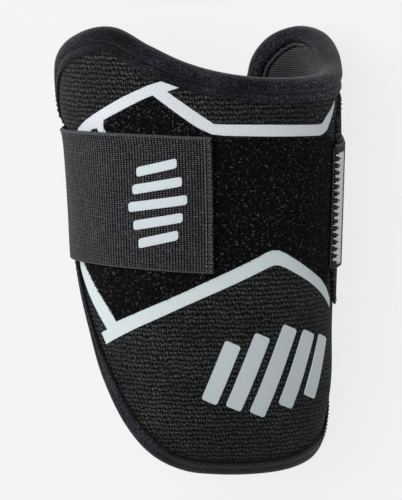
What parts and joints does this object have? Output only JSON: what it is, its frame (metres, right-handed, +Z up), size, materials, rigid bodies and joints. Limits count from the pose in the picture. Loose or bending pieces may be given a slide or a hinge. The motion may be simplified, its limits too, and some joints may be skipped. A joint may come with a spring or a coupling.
{
  "type": "batter's elbow guard",
  "caption": "Padded half-tube elbow guard with a bound edge, a rear wing with a raised lobe, a loop panel and a wide elastic strap closed round it, lying front up.",
  "frame": {"origin": "centre of the underside, on the surface that the guard lies on", "axes": "+X to the right across the guard, +Y along the arm towards the upper arm, +Z up from the surface out of the padded front"},
  "size_m": [0.1374, 0.213, 0.104],
  "materials": {
    "mesh_cover": "black jacquard mesh with small slots, matte",
    "binding": "smooth matte stretch fabric",
    "liner": "charcoal lining with fine ribs",
    "pile": "fuzzy black loop pile",
    "film": "pale bonded film, matte",
    "elastic": "charcoal woven elastic with ribs along its length",
    "hook": "black hook tape",
    "motif": "pale grey bonded film, matte"
  },
  "bodies": {
    "root": {"guard_shell": "mesh_cover", "edge_binding": "binding", "inner_liner": "liner", "loop_panel": "pile", "upper_film": "film", "lower_film": "film", "anchor_patch": "mesh_cover", "elbow_strap": "elastic", "hook_patch": "hook", "panel_bar_1": "motif", "panel_bar_2": "motif", "panel_bar_3": "motif", "panel_bar_4": "motif", "panel_bar_5": "motif", "strap_bar_1": "motif", "strap_bar_2": "motif", "strap_bar_3": "motif", "strap_bar_4": "motif", "strap_bar_5": "motif"}
  },
  "joints": []
}
